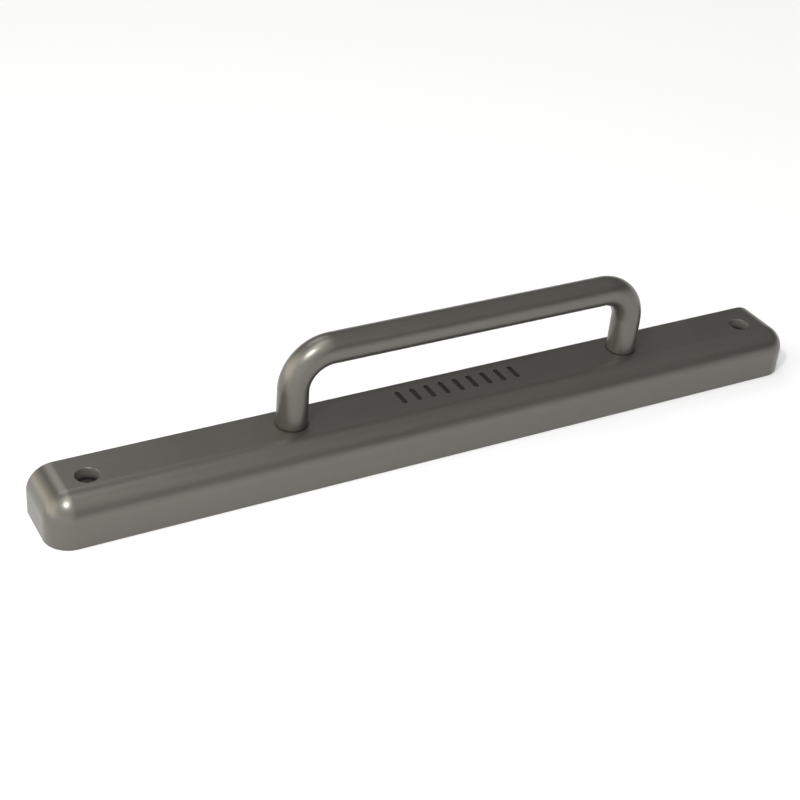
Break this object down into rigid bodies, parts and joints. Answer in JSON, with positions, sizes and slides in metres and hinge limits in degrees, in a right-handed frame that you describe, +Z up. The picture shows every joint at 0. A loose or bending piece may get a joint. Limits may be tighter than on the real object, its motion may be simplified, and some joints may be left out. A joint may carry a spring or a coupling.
{
  "type": "hand rail",
  "caption": "Grab handle of round bar standing on a solid mounting bar with rounded front and ends, counterbored for screws near each end.",
  "frame": {"origin": "middle of the flat underside of the mounting bar", "axes": "+X along the bar towards the end that the rail is nearer to, -Y out of the rounded front edge, +Z up from the underside to the grip"},
  "size_m": [0.41, 0.034, 0.069],
  "materials": {
    "steel": "satin, fine lengthwise grain"
  },
  "bodies": {
    "root": {"hand_rail": "steel"}
  },
  "joints": []
}
